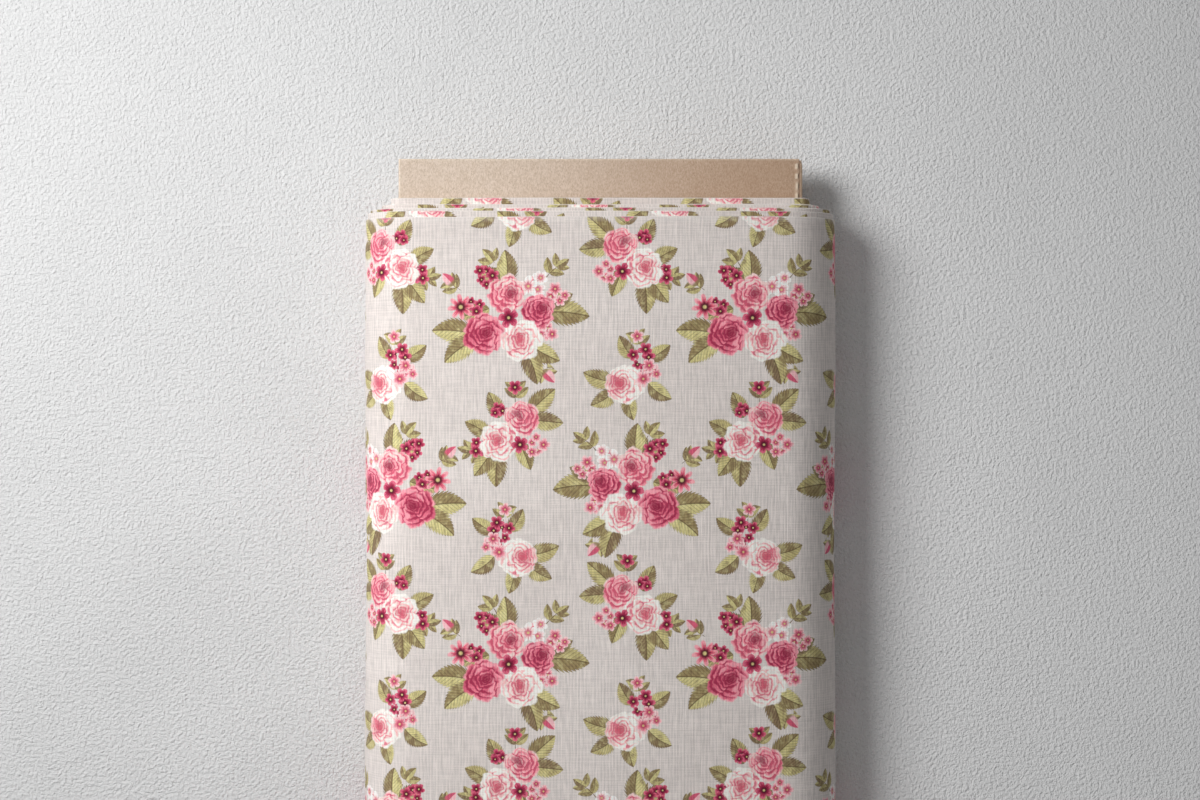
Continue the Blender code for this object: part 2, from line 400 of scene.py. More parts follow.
def draw_rose(tree, place):
    """Broad outer petals round a small dark heart set to one side."""
    x, y, seed, flags = read_code(tree, place, kinds=3)
    is_pale = flags[1]
    # the whole flower is warped a little, and its heart leans by the seed
    where = tree.vmath("ADD", place, tree.join(seed * 91.0, 3.0))
    drift = tree.noise(where, scale=2.1, detail=2.0, rough=0.6, output="Color")
    drift = tree.vmath("SUBTRACT", drift, (0.5, 0.5, 0.5))
    warped = tree.vmath("MULTIPLY_ADD", drift, (0.44, 0.44, 0.0), place)
    warp_x, warp_y, _ = tree.split(warped)
    lean_x = seed.times(23.0, plus=0.0).sin() * 0.24
    lean_y = (seed * 41.0).sin().times(0.12, plus=0.14)
    for i, (reach, petals, dip) in enumerate(ROSE_ROUNDS):
        is_last = i == len(ROSE_ROUNDS) - 1
        next_share = 0.2 if is_last else ROSE_ROUNDS[i + 1][0] / reach
        round_x = lean_x.times(-i / 5, plus=warp_x)
        round_y = lean_y.times(-i / 5, plus=warp_y)
        radius = tree.length(round_x, round_y)
        turn = tree.math("ARCTAN2", round_y, round_x)
        phase = turn.times(petals, plus=seed.times(11.0 + 3.7 * i, plus=1.9 * i))
        lobe = phase.sin().abs()
        notch = 1.0 - lobe
        edge = (notch * notch).times(-dip * reach, plus=reach)
        share = radius / edge
        saw = (phase / math.pi).fract()
        # paler outwards and along each petal, dark between petals, with a light rim
        own = share.ramp(start=next_share - 0.05, end=0.84, bottom=0.12, top=0.60 - 0.03 * i)
        own = saw.times(0.34, plus=own - 0.16)
        own = own - lobe.ramp(start=0.20, end=0.0, top=0.30)
        own = own + share.ramp(start=0.86, end=0.97, top=0.15)
        if i == 0:
            tone = own
            cover = (edge - radius).cover(14.0)
        else:
            # each inner round casts a little shade on the one outside it
            shade = share.ramp(start=1.20, end=1.0, top=0.34)
            over = (edge - radius).cover(16.0)
            tone = tree.mix_floats(over, tone - shade, own)
    # streaks, blotches and a light from the upper right
    stretched = tree.vmath("MULTIPLY", where, tree.join(6.4, 3.0, 1.0))
    streak = tree.noise(stretched, scale=1.0, detail=2.0, rough=0.65)
    blotch = tree.noise(where, scale=1.5, detail=1.0, rough=0.5)
    tone = x.times(0.20, plus=y.times(0.12, plus=tone))
    tone = streak.times(0.80, plus=blotch.times(0.90, plus=tone - 0.82))
    tone = is_pale.times(radius.ramp(start=0.35, end=0.95, top=0.30), plus=tone)
    low, mid, high = (by_kind(tree, flags, row) for row in (ROSE_LOW, ROSE_MID, ROSE_HIGH))
    colour = tree.mix(tone.ramp(start=-0.06, end=0.34), low, mid)
    colour = tree.mix(tone.ramp(start=0.36, end=0.74), colour, high)
    heart = radius.ramp(start=0.42, end=0.06, top=0.72)
    heart_colour = tree.mix(is_pale, ink(138, 30, 60), ink(206, 78, 100))
    return tree.mix(heart, colour, heart_colour), cover

# painted shade: darker on the left, under the key light, and lighter to the right, evening out its
# falloff

# =============================================================================
# layout of the print: two mirrored halves, one dropped by half the repeat
# ============================================================================= painted light: further out the floor glows, standing in for studio lamps lighting it
REPEAT_X_MM, REPEAT_Y_MM = 117, 166
REPEAT_X, REPEAT_Y = REPEAT_X_MM / 1000, REPEAT_Y_MM / 1000
MIRROR_X_MM = 64.0                               # a place and its mirrored one add up to this
# where the first bouquet's centre lies on the front face
PRINT_X, PRINT_Y = -0.0460, 0.2240

# classes of motif, from the lowest to the topmost
LEAF, BLOOM, ROSE, FRONT = range(4)
SLOT_NAMES = ("leaf", "bloom", "rose", "front")
SLOTS = (5, 4, 2, 1)                             # most motifs of each class on one face
REACH_Y = (0.78, 1.0, 1.0, 1.0)                  # half height of a motif over its half width

Motif = namedtuple("Motif", "layer x y radius angle flip code")
motifs = []


# Places, sizes and lengths below are in millimetres, angles in degrees. Further named
# arguments go on to put: at, the cluster's centre, and mirror.
def put(layer, x, y, size, angle, kind, at, mirror):
    """One motif of a cluster."""
    wave = math.sin(12.9898 * (x + 3.1) + 78.233 * (y - 1.7) + 4.1 * size)
    seed = 0.02 + 0.94 * abs(math.modf(wave * 4375.85)[0])
    if mirror:
        x, angle = -x, 180 - angle
    place = ((at[0] + x) / 1000, (at[1] + y) / 1000)
    flip = -1.0 if mirror else 1.0
    motifs.append(Motif(layer, *place, size / 1000, math.radians(angle), flip, kind + seed))


def leaf(x, y, angle, size, kind=0, **to_put):
    """A leaf whose stalk starts at x, y."""
    turn = math.radians(angle)
    centre = (x + size * 0.9 * math.cos(turn), y + size * 0.9 * math.sin(turn))
    put(LEAF, *centre, size, angle, kind, **to_put)


def fan(x, y, radius, angles, size, **to_put):
    """Leaves that come out from under a rose."""
    for i, angle in enumerate(angles):
        turn = math.radians(angle)
        stalk = (x + 0.62 * radius * math.cos(turn), y + 0.62 * radius * math.sin(turn))
        leaf(*stalk, angle, size * (1 - 0.09 * (i % 3)), **to_put)


def cluster(x, y, count, spread, size, kind, **to_put):
    """Small blossoms packed together, each a golden angle on from the last."""
    for i in range(count):
        turn = 2.39996 * i + 0.7 * x + 0.3 * y
        away = spread * math.sqrt((i + 0.35) / count)
        centre = (x + away * math.cos(turn), y + away * math.sin(turn))
        put(BLOOM, *centre, size * (1 - 0.12 * (i % 3)), 47 * i, kind, **to_put)


def sprig(x, y, heading, length, size, curve, tip=None, **to_put):
    """A stem with paired leaflets; its tip is a bud, a blossom of kind tip, or a leaflet."""
    steps = max(2, round(length / 5.2))
    for i in range(steps):
        step = length / steps
        dx, dy = math.cos(math.radians(heading)), math.sin(math.radians(heading))
        put(LEAF, x + dx * step / 2, y + dy * step / 2, step * 0.62, heading, 3, **to_put)
        x, y = x + dx * step, y + dy * step
        small = size * (1.0 - 0.25 * i / steps)
        leaf(x, y, heading + (58 if i % 2 else 50), small, 1, **to_put)
        leaf(x, y, heading - (48 if i % 2 else 56), small * 0.92, 1, **to_put)
        heading += curve
    if tip == "bud":
        leaf(x - 0.5 * dx, y - 0.5 * dy, heading, size * 1.05, 2, **to_put)
    elif tip is not None:
        put(BLOOM, x + dx, y + dy, size * 0.95, heading, tip, **to_put)
    else:
        leaf(x, y, heading, size * 0.9, 1, **to_put)


# Each cluster from the bottom up. After x and y the columns are:
#   sprig: heading, length, leaflet size, curve a step, tip
#   fan: rose radius, leaf angles, leaf size
#   leaf: angle, size
#   cluster: count, spread, blossom size, kind
#   put, with x and y after the class: size, angle, kind
BOUQUET = (
    (sprig, -2, 17, 108, 9, 4.4, 12),
    (sprig, 19, 16, 50, 9, 4.0, -9),
    (sprig, -21, 11, 146, 5, 3.8, -6, "bud"),
    (sprig, 15, -21, -66, 8, 4.0, 10, "bud"),
    (fan, -10, -10, 10.4, (176, 216), 9.8),
    (fan, 8, -13, 10.2, (-70, -28), 8.6),
    (fan, 16, 1, 8.6, (-6,), 10.4),
    (fan, 1, 9, 9.6, (92, 138), 8.2),
    (leaf, -8, 2, 196, 7.4),
    (leaf, 22, 3, 30, 6.6),
    (cluster, 24.5, 8, 6, 4.8, 3.9, 1),
    (cluster, 15.5, 14, 4, 4.6, 5.0, 2),
    (cluster, -9, 18, 6, 4.4, 3.6, 0),
    (cluster, -14, 4, 4, 3.4, 3.4, 0),
    (put, BLOOM, -21, 3, 7.4, 15, 3),
    (cluster, 20, -9, 5, 3.8, 3.6, 1),
    (put, ROSE, 1, 9, 10.0, 0, 1),
    (put, ROSE, 16, 1, 8.8, 0, 0),
    (put, ROSE, -10, -10, 10.8, 0, 0),
    (put, ROSE, 8, -13, 10.8, 0, 2),
    (put, FRONT, 2, -2.2, 5.4, 10, 0),
)
PAIR = (
    (sprig, -2, 13, 92, 7, 4.0, -9, 0),
    (sprig, 13, -9, -10, 7, 3.8, 12),
    (fan, -5, 6, 8.8, (138, 186), 8.4),
    (fan, 6, -5, 9.8, (-86, -54, 30), 8.4),
    (leaf, -4, -6, 248, 7.2),
    (leaf, 6, 7, 66, 6.8),
    (cluster, -12, -7, 6, 4.4, 3.6, 1),
    (cluster, 15, -7, 5, 3.6, 4.0, 0),
    (cluster, 6, 10, 3, 2.6, 3.6, 0),
    (put, ROSE, -5, 6, 9.4, 0, 1),
    (put, ROSE, 6, -5, 10.6, 0, 2),
    (put, FRONT, -4, -6.5, 4.6, 60, 0),
)
SINGLE = (
    (sprig, 4, 12, 92, 5, 3.8, 10, 1),
    (fan, -3, -5, 9.4, (164, 212, -76), 7.8),
    (leaf, 9, 7, 34, 6.4),
    (leaf, 1, 8, 122, 6.4),
    (leaf, 9, -5, -34, 6.8),
    (cluster, 5, 7, 7, 5.4, 3.7, 0),
    (cluster, 10, 1, 4, 3.4, 3.9, 1),
    (put, ROSE, -3, -5, 10.2, 0, 2),
    (put, FRONT, 6.0, -2.5, 4.4, 60, 1),
)
# cluster, x, y
LAYOUT = ((BOUQUET, 0.0, 0.0), (PAIR, 60.5, 26.5), (SINGLE, 60.5, -29.0))
for parts, x, y in LAYOUT:
    mirrored = (MIRROR_X_MM - x, y - REPEAT_Y_MM / 2)
    for at, mirror in (((x, y), False), (mirrored, True)):
        for make, *values in parts:
            make(*values, at=at, mirror=mirror)

# how many motifs of each class a material can hold on one face, the lightest first
KINDS = (
    (0, 0, 0, 0), (1, 0, 0, 0), (0, 1, 0, 0), (2, 0, 0, 0),
    (1, 1, 0, 0), (0, 0, 1, 0), (3, 0, 0, 0), (2, 2, 0, 0),
    (1, 0, 1, 0), (4, 1, 0, 0), (0, 1, 1, 1), (2, 1, 1, 0),
    (5, 4, 0, 0), (3, 2, 1, 0), (1, 1, 2, 1), (5, 4, 2, 1),
)
LARGEST_PRINTED = 0.006                          # faces longer than this take no print
EMPTY_SLOT = (4.0, 4.0, 0.5)                     # a place outside every motif


def corner_vectors(mesh, name, values):
    attribute = mesh.attributes.new(name, "FLOAT_VECTOR", "CORNER")
    attribute.data.foreach_set("vector", values.ravel())


def point_values(mesh, name, values):
    attribute = mesh.attributes.new(name, "FLOAT", "POINT")
    attribute.data.foreach_set("value", values.astype(np.float32).ravel())


def stamp(mesh, along, across, wanted):
    """Gives each face corner its place in every motif that covers the face, by class and layer.

    along and across are (faces, 4), in metres along the wound cloth and along its width."""
    faces = len(along)
    mid_x, mid_y = along.mean(1), across.mean(1)
    size_x, size_y = np.ptp(along, axis=1), np.ptp(across, axis=1)
    index = np.nonzero(wanted & (np.maximum(size_x, size_y) < LARGEST_PRINTED))[0]
    slots = [np.empty((count, faces, 4, 3), np.float32) for count in SLOTS]
    for values in slots:
        values[:] = EMPTY_SLOT
    used = [np.zeros(faces, int) for _ in SLOTS]
    face_x, face_y = mid_x[index], mid_y[index]
    half_x, half_y = 0.5 * size_x[index] + 0.0001, 0.5 * size_y[index] + 0.0001
    hidden = np.zeros(len(index), bool)
    # The last motif placed lies on top, so slots fill from the top down.
    for c in (FRONT, ROSE, BLOOM, LEAF):
        for m in reversed([m for m in motifs if m.layer == c]):
            off_x = (face_x - PRINT_X - m.x + REPEAT_X / 2) % REPEAT_X - REPEAT_X / 2
            off_y = (face_y - PRINT_Y - m.y + REPEAT_Y / 2) % REPEAT_Y - REPEAT_Y / 2
            cos, sin = math.cos(m.angle), math.sin(m.angle)
            local_x, local_y = off_x * cos + off_y * sin, off_y * cos - off_x * sin
            hit = (np.abs(local_x) < m.radius + abs(cos) * half_x + abs(sin) * half_y) & (
                np.abs(local_y) < m.radius * REACH_Y[c] + abs(sin) * half_x + abs(cos) * half_y
            )
            distance, face_radius = np.hypot(local_x, local_y), np.hypot(half_x, half_y)
            if c != LEAF:
                hit &= distance < m.radius + face_radius
            hit &= ~hidden
            layer = used[c][index]
            hit &= layer < SLOTS[c]
            if c == ROSE:
                hidden |= hit & (distance + face_radius < 0.66 * m.radius)
            which, layer = index[hit], layer[hit]
            corner_x = along[which] - mid_x[which, None] + off_x[hit, None]
            corner_y = across[which] - mid_y[which, None] + off_y[hit, None]
            turned_x = corner_x * cos + corner_y * sin
            turned_y = (corner_y * cos - corner_x * sin) * m.flip
            slots[c][layer, which, :, 0] = turned_x / m.radius
            slots[c][layer, which, :, 1] = turned_y / m.radius
            slots[c][layer, which, :, 2] = m.code
            used[c][which] += 1
    for name, values in zip(SLOT_NAMES, slots):
        for layer, places in enumerate(values):
            corner_vectors(mesh, f"{name}{layer}", places)
    # each face takes the lightest material that holds all its motifs
    fit = np.full(faces, -1, np.int32)
    for i, limit in enumerate(KINDS):
        ok = fit < 0
        for count, most in zip(used, limit):
            ok &= count <= most
        fit[ok] = i
    mesh.polygons.foreach_set("material_index", fit)
    web = np.zeros((faces, 4, 3), np.float32)
    web[..., 0], web[..., 1] = along, across
    corner_vectors(mesh, "web", web)


# =============================================================================
# materials
# =============================================================================
leaf_group = motif_group("leaf_print", draw_leaf)
bloom_group = motif_group("bloom_print", draw_bloom)
rose_group = motif_group("rose_print", draw_rose)
GROUP_OF = (leaf_group, bloom_group, rose_group, bloom_group)


def add_motifs(tree, colour, counts):
    """Lays the printed motifs over a colour, from the lowest class and slot up."""
    before = None
    for name, group, most in zip(SLOT_NAMES, GROUP_OF, counts):
        for layer in reversed(range(most)):
            node = tree.nodes.new("ShaderNodeGroup")
            node.node_tree = group
            where = tree.attribute(f"{name}{layer}")
            if before is not None:
                # a vanishing share of the last motif makes the renderer take them in order
                where = tree.vmath("ADD", where, tree.join(before * 1e-7, 0.0))
            tree.fill(node, {0: where})
            before = Value(tree, node.outputs[1])
            colour = tree.mix(before, colour, Value(tree, node.outputs[0]))
    return colour


def cotton(name, counts):
    """Plain-woven cotton, with the print's motifs where there are any."""
    material, tree, shader = principled(name)
    x, y, _ = tree.split(tree.scale(tree.attribute("web"), 1000.0))      # millimetres

    def cloth_noise(scale_x, scale_y, z, detail, rough):
        place = tree.join(x * scale_x, y * scale_y, z)
        return tree.noise(place, detail=detail, rough=rough)

    warp = cloth_noise(scale_x=1.15, scale_y=0.085, z=0.0, detail=2.0, rough=0.62)
    weft = cloth_noise(scale_x=0.075, scale_y=1.10, z=5.0, detail=2.0, rough=0.62)
    grain = cloth_noise(scale_x=2.6, scale_y=2.2, z=9.0, detail=1.0, rough=0.5)
    broad = cloth_noise(scale_x=0.012, scale_y=0.012, z=2.0, detail=1.0, rough=0.5)
    threads = warp.times(0.52, plus=weft.times(0.26, plus=grain * 0.22))
    # regular ribs of warp threads, and fainter weft ones
    rib = warp.times(5.0, plus=x * 4.1).sin().times(0.5, plus=0.5)
    bar = weft.times(5.0, plus=y * 5.3).sin().times(0.5, plus=0.5)
    threads = (rib * rib).times(0.085, plus=(bar * bar).times(0.04, plus=threads - 0.045))
    ground = ((0.812, 0.742, 0.706, 1.0), (0.780, 0.708, 0.672, 1.0))
    colour = tree.mix(broad.ramp(start=0.3, end=0.7), *ground)
    colour = add_motifs(tree, colour, counts)
    # the threads show through the print as fine lights and darks
    shade = threads.ramp(start=0.33, end=0.67, bottom=0.82, top=1.12)
    colour = tree.mix(1.0, colour, tree.join(shade, shade, shade), blend="MULTIPLY")
    # painted highlight, partly wear: edges marked in the edge attribute are paler, where folds and
    # ridge tops catch the light
    edge = tree.attribute("edge", output="Fac")
    colour = tree.mix(edge * 0.75, colour, (0.90, 0.85, 0.82, 1.0))
    weave = (y * 7.4).sin().times(0.35, plus=threads * 7.0)
    weave = (x * 7.4).sin().times(0.35, plus=weave)
    tree.fill(shader, {
        "Base Color": colour,
        "Roughness": grain.times(0.14, plus=0.84),
        "Specular IOR Level": 0.22,
        "Sheen Weight": 0.08,
        "Sheen Roughness": 0.5,
        "Normal": tree.bump(weave, strength=0.50, distance=0.00010),
    })
    return material


def kraft(name, base, dark, speck, right=None):
    """Brown card; right gives the base and dark colours towards its right side: painted shade,
    darker and browner away from the light.
    """
    material, tree, shader = principled(name)
    place = tree.object_mm()
    x, y, z = tree.split(place)
    fibre = tree.noise(tree.join(x * 1.6, y * 0.75, z * 1.6), detail=3.0, rough=0.65)
    cloud = tree.noise(place, scale=0.045, detail=2.0, rough=0.5)
    fleck = tree.noise(tree.join(x * 3.2, y * 1.9, z * 3.2), detail=1.0, rough=0.5)
    flute = (x * (2 * math.pi / FLUTE_MM)).sin()
    if right is not None:
        # painted shade: the card grows darker and browner towards the perforated fold on the
        # right, away from the light
        painted_right_shade = x.ramp(start=-70.0, end=98.0)
        base, dark = tree.mix(painted_right_shade, base, right[0]), tree.mix(painted_right_shade, dark, right[1])
    colour = tree.mix(fibre.ramp(start=0.30, end=0.72), base, dark)
    colour = tree.mix(cloud.ramp(start=0.35, end=0.7, top=0.25), colour, dark)
    colour = tree.mix(fleck.ramp(start=0.62, end=0.76, top=0.55), colour, speck)
    pale_fleck = fleck.ramp(start=0.36, end=0.24, top=0.35)
    colour = tree.mix(pale_fleck, colour, srgb(236, 216, 190))
    colour = tree.mix(tree.attribute("worn", output="Fac"), colour, srgb(238, 222, 200))
    # painted shade: the slit attribute darkens the perforation's slits and the start of the fold's
    # crease
    colour = tree.mix(tree.attribute("slit", output="Fac"), colour, srgb(74, 50, 34))
    height = fibre.times(1.0, plus=fleck.times(0.6, plus=flute * 0.22))
    tree.fill(shader, {
        "Base Color": colour,
        "Roughness": fibre.times(0.16, plus=0.78),
        "Specular IOR Level": 0.3,
        "Normal": tree.bump(height, strength=0.30, distance=0.00018),
    })
    return material


COTTON = [cotton("cotton_print_" + "".join(map(str, counts)), counts) for counts in KINDS]
KRAFT = kraft(
    "kraft_liner",
    base=srgb(229, 212, 197),
    dark=srgb(202, 182, 161),
    speck=srgb(142, 112, 86),
    # painted shade: darker, browner card colours towards the right
    right=(srgb(201, 173, 149), srgb(178, 146, 120)),
)
FLUTING = kraft(
    "kraft_fluting",
    base=srgb(190, 158, 122),
    dark=srgb(160, 128, 94),
    speck=srgb(118, 90, 62),
)
GREY_CARD = kraft(
    "inner_card",
    base=srgb(172, 146, 118),
    dark=srgb(146, 120, 94),
    speck=srgb(104, 82, 62),
)


# =============================================================================
# the wound section
# Nine segments run clockwise from the middle of the front: half the front, corner, right side,
# corner, back, corner, left side, corner, and the other half of the front.
# =============================================================================
def section(depth):
    """Half width, half depth and corner radius of the wind at a depth outside the board."""
    half_w, half_d = HALF_W + depth, HALF_D + depth
    return half_w, half_d, np.minimum(GROWTH * depth, half_d - 0.0002)


def lengths(depth):
    """Lengths of the nine segments."""
    half_w, half_d, radius = section(depth)
    corner, side, flat = math.pi * radius / 2, 2 * (half_d - radius), half_w - radius
    return [flat, corner, side, corner, 2 * flat, corner, side, corner, flat]


def perimeter(depth):
    return sum(lengths(depth))


def choose(segment, choices):
    """Picks, at every column, the values of the segment that it is on."""
    chosen = [np.zeros(segment.shape) for _ in choices[0]]
    for i, values in enumerate(choices):
        chosen = [np.where(segment == i, new, old) for new, old in zip(values, chosen)]
    return chosen


def trace(depth, segment, share):
    """Points and outward normals in XZ, and distance along the cloth.

    depth is (rows, 1) or (rows, columns); segment and share place each column."""
    depth, segment, share = np.broadcast_arrays(depth, segment[None, :], share[None, :])
    half_w, half_d, radius = section(depth)
    parts = lengths(depth)
    starts = [np.zeros_like(half_w)]
    for part in parts:
        starts.append(starts[-1] + part)
    total = starts[-1]
    run = [share * part for part in parts]
    mid_x, mid_z = half_w - radius, half_d - radius       # centre of a corner
    sn, cs = np.sin(share * np.pi / 2), np.cos(share * np.pi / 2)
    # x, z and the normal's x and z
    path = (
        (run[0], half_d, 0, 1),
        (mid_x + radius * sn, mid_z + radius * cs, sn, cs),
        (half_w, mid_z - run[2], 1, 0),
        (mid_x + radius * cs, -mid_z - radius * sn, cs, -sn),
        (mid_x - run[4], -half_d, 0, -1),
        (-mid_x - radius * sn, -mid_z - radius * cs, -sn, -cs),
        (-half_w, -mid_z + run[6], -1, 0),
        (-mid_x - radius * cs, mid_z + radius * sn, -cs, sn),
        (-mid_x + run[8], half_d, 0, 1),
    )
    path = [(*place, starts[i] + run[i]) for i, place in enumerate(path)]
    x, z, normal_x, normal_z, along = choose(segment, path)
    along = np.where(along > total / 2, along - total, along)
    return x, z + MID_Z, normal_x, normal_z, along


# =============================================================================
# fullness of the wound cloth
# =============================================================================
CROWN = 0.0062                                   # what the outer cloth adds at the middle
MOST_CROWN = 0.0085
STACK = 0.0034                                   # what the turns under it add, fuller sideways
FULLNESS = 0.0007                                # how far the sides stand proud


class Field:
    """Smooth, seeded variation over a plane, in metres."""

    def __init__(self, scales, amounts, seed):
        random = np.random.default_rng(seed)
        self.waves = []
        for scale, amount in zip(scales, amounts):
            for _ in range(7):
                angle = random.uniform(0, 2 * np.pi)
                rate = 2 * np.pi / (scale * random.uniform(0.7, 1.5))
                phase = random.uniform(0, 6.28)
                wave = (rate * np.cos(angle), rate * np.sin(angle), phase, amount / 2.6)
                self.waves.append(wave)

    def __call__(self, x, y):
        out = np.zeros(np.broadcast(x, y).shape)
        for rate_x, rate_y, phase, amount in self.waves:
            out = out + amount * np.sin(rate_x * x + rate_y * y + phase)
        return out


soft = Field(scales=(0.32, 0.12), amounts=(0.00050, 0.00022), seed=5)
ripple = Field(scales=(0.055, 0.028), amounts=(0.00010, 0.00005), seed=8)


def settled():
    """Cloth held along the bolt's two long sides, slightly longer than the way across, settles
    into a crown.

    Returns its height over the face as a grid, with the grid's x and y."""
    wide, high, low = HALF_W + BACK, TOP["loose_cloth_end"], BOTTOM["loose_cloth_end"]
    across, along = 45, 121
    last_frame = 36
    grid_x, grid_y = np.linspace(-wide, wide, across), np.linspace(low, high, along)
    x, y = np.meshgrid(grid_x, grid_y, indexing="xy")
    uneven = Field(scales=(0.09,), amounts=(1.0,), seed=21)
    z = 0.0030 * (1 - (x / wide) ** 2) + 0.0003 * uneven(x, y)
    mesh = bpy.data.meshes.new("settling_cloth")
    faces = [
        (j * across + i, j * across + i + 1, (j + 1) * across + i + 1, (j + 1) * across + i)
        for j in range(along - 1)
        for i in range(across - 1)
    ]
    mesh.from_pydata(np.stack([x, y, z], -1).reshape(-1, 3).tolist(), [], faces)
    sheet = bpy.data.objects.new("settling_cloth", mesh)
    scene = bpy.context.scene
    scene.collection.objects.link(sheet)
    held = sheet.vertex_groups.new(name="held")
    held.add([j * across + i for j in range(along) for i in (0, across - 1)], 1.0, "REPLACE")
    cloth = sheet.modifiers.new("settle", "CLOTH")
    settings = cloth.settings
    settings.quality, settings.mass, settings.air_damping = 6, 0.12, 3.0
    settings.tension_stiffness = settings.compression_stiffness = 30.0
    settings.shear_stiffness, settings.bending_stiffness = 12.0, 0.6
    settings.tension_damping = settings.compression_damping = settings.shear_damping = 12.0
    settings.shrink_min = -0.0022
    settings.vertex_group_mass = "held"
    cloth.collision_settings.use_collision = False
    cloth.point_cache.frame_start, cloth.point_cache.frame_end = 1, last_frame
    gravity_was, frame_was = tuple(scene.gravity), scene.frame_current
    scene.gravity = (0.0, 0.0, 3.0)
    for f in range(1, last_frame + 1):
        scene.frame_set(f)
    done = sheet.evaluated_get(bpy.context.evaluated_depsgraph_get()).to_mesh()
    rested = np.empty(len(mesh.vertices) * 3, np.float32)
    done.vertices.foreach_get("co", rested)
    rested = rested.reshape(along, across, 3)[..., 2].astype(float)
    scene.gravity = gravity_was
    scene.frame_set(frame_was)
    bpy.data.objects.remove(sheet)
    bpy.data.meshes.remove(mesh)
    return grid_x, grid_y, rested


CLOTH_SHAPE = settled()


def crown(x, y):
    """Height of the front face over the flat."""
    if CLOTH_SHAPE is None:
        return CROWN * np.clip(1 - (x / (HALF_W + BACK)) ** 2, 0, 1)
    grid_x, grid_y, height = CLOTH_SHAPE
    u = np.clip((x - grid_x[0]) / (grid_x[1] - grid_x[0]), 0, len(grid_x) - 1.001)
    v = np.clip((y - grid_y[0]) / (grid_y[1] - grid_y[0]), 0, len(grid_y) - 1.001)
    i, j = u.astype(int), v.astype(int)
    u, v = u - i, v - j
    lift = (height[j, i] * (1 - u) + height[j, i + 1] * u) * (1 - v)
    lift = lift + (height[j + 1, i] * (1 - u) + height[j + 1, i + 1] * u) * v
    middle = height[len(grid_y) // 2, len(grid_x) // 2]
    return np.clip(lift * CROWN / middle, 0.0, MOST_CROWN)


def puff(x, y, z, normal_x, normal_z, depth):
    """Moves points for fullness: a crowned, uneven front, sides slightly proud, a flat back."""
    share = depth / BACK
    front = np.clip(normal_z, 0, 1)
    across = np.clip(1 - (x / (HALF_W + 0.0015)) ** 2, 0, 1)
    ends = 1 - 0.10 * np.clip(np.abs(y) / 0.28, 0, 1) ** 4
    stack = STACK * (1 - np.clip(np.abs(x) / (HALF_W + BACK), 0, 1) ** 4.5)
    lift = ((crown(x, y) + stack) * ends + soft(x, y) * front) * share * front
    lift = lift + ripple(x, y) * front * share * across
    side = FULLNESS + 0.00030 * np.sin(y * 31.0 + 1.3)
    side = side * np.clip(np.abs(normal_x) * 1.2 - 0.2, 0, 1) * share
    return x + side * np.sign(normal_x), z + np.maximum(lift, -0.0002 * share)


# =============================================================================
# meshes from grids of points; rows run round a piece's own section
# =============================================================================
def quad_mesh(name, points, quads):
    mesh = bpy.data.meshes.new(name)
    flat = points.reshape(-1, 3)
    mesh.vertices.add(len(flat))
    mesh.vertices.foreach_set("co", flat.astype(np.float32).ravel())
    mesh.loops.add(quads.size)
    mesh.loops.foreach_set("vertex_index", quads.astype(np.int32).ravel())
    mesh.polygons.add(len(quads))
    mesh.polygons.foreach_set("loop_start", np.arange(0, quads.size, 4, dtype=np.int32))
    mesh.update(calc_edges=True)
    mesh.shade_smooth()
    return mesh


def grid_corners(rows, cols, closed):
    """Row, column, next row and next column of each face; rows always close."""
    col_range = np.arange(cols if closed else cols - 1)
    row, col = np.meshgrid(np.arange(rows), col_range, indexing="ij")
    return row, col, (row + 1) % rows, (col + 1) % cols


def grid_quads(row, col, row2, col2, cols):
    corners = [row * cols + col, row * cols + col2, row2 * cols + col2, row2 * cols + col]
    return np.stack(corners, -1).reshape(-1, 4)


def link_object(name, mesh):
    obj = bpy.data.objects.new(name, mesh)
    bpy.context.scene.collection.objects.link(obj)
    return obj


def cloth_mesh(node, points, along, across, closed, printed, edge):
    """A printed sweep of cloth; its columns run along the wind.

    points is (rows, cols, 3). along is (rows, cols + 1) when the columns close, else
    (rows, cols)."""
    name = "cloth_" + node
    rows, cols = points.shape[:2]
    row, col, row2, col2 = grid_corners(rows, cols, closed)
    quads = grid_quads(row, col, row2, col2, cols)
    corners = [along[row, col], along[row, col + 1], along[row2, col + 1], along[row2, col]]
    along_corner = np.stack(corners, -1).reshape(-1, 4)
    corners = [across[row, col], across[row, col2], across[row2, col2], across[row2, col]]
    across_corner = np.stack(corners, -1).reshape(-1, 4)
    wanted = printed[row].reshape(-1)
    if not closed:
        caps = []
        for at, turned in ((0, True), (cols - 1, False)):
            for k in range(rows // 2 - 1):
                cap = [r * cols + at for r in (k, k + 1, rows - 2 - k, rows - 1 - k)]
                caps.append(cap[::-1] if turned else cap)
        blank = np.zeros((len(caps), 4))
        quads = np.concatenate([quads, np.array(caps)])
        along_corner = np.concatenate([along_corner, blank])
        across_corner = np.concatenate([across_corner, blank])
        wanted = np.concatenate([wanted, np.zeros(len(caps), bool)])
    mesh = quad_mesh(name, points, quads)
    stamp(mesh, along_corner, across_corner, wanted)
    point_values(mesh, "edge", edge)
    for material in COTTON:
        mesh.materials.append(material)
    return link_object(name, mesh)


def card_mesh(name, points, material, **painted):
    """A closed sweep of card, with painted amounts as point attributes."""
    rows, cols = points.shape[:2]
    quads = grid_quads(*grid_corners(rows, cols, closed=True), cols)
    mesh = quad_mesh(name, points, quads)
    mesh.set_sharp_from_angle(angle=math.radians(40))
    for attribute, amount in painted.items():
        point_values(mesh, attribute, np.broadcast_to(amount, (rows, cols)))
    mesh.materials.append(material)
    return link_object(name, mesh)


# =============================================================================
# groups of wound turns
# =============================================================================
# distance of each group's outer turn along the cloth, counted inwards from the loose end
WEB_START = {}
distance = 0.0
for node in ("loose_cloth_end", "outer_turns", "middle_turns", "inner_turns", "core_turns"):
    WEB_START[node] = distance
    inner, outer = DEPTH[node]
    for i in range(max(1, round((outer - inner) / PLY))):
        distance += perimeter(outer - i * PLY)
